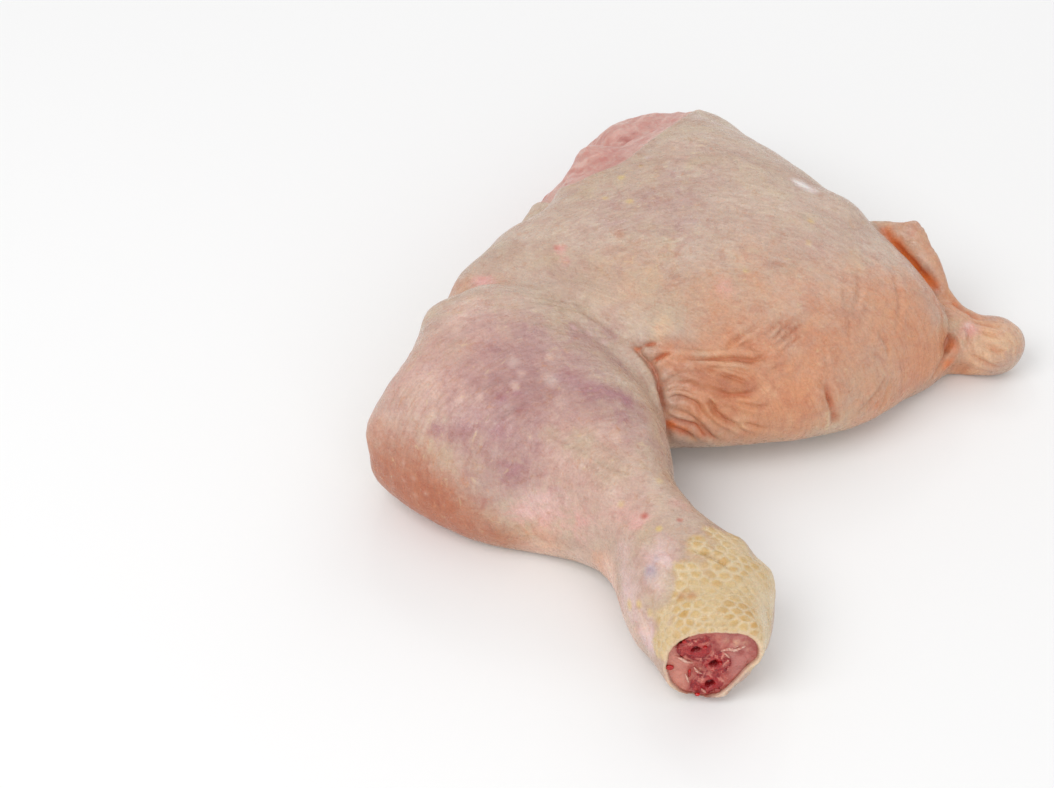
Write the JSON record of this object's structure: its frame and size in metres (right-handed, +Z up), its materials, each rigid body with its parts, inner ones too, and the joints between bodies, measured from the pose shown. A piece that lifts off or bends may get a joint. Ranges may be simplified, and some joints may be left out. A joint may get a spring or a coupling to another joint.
{
  "type": "raw chicken leg quarter",
  "caption": "Raw chicken leg lying on its side: skin-covered drumstick and thigh, scaly hock cut to show the bone, flap of back skin with the tail.",
  "frame": {"origin": "centre of the box that holds the leg, on the table it lies on", "axes": "+X from the knee side to the tail, +Y from the hock to the hip end, +Z up from the table"},
  "size_m": [0.1626, 0.1902, 0.043],
  "materials": {
    "skin": "moist satin raw skin",
    "meat": "moist raw muscle",
    "bone": "wet cut bone and marrow"
  },
  "bodies": {
    "root": {"skin": "skin", "meat": "meat", "leg_bone": "bone"}
  },
  "joints": []
}
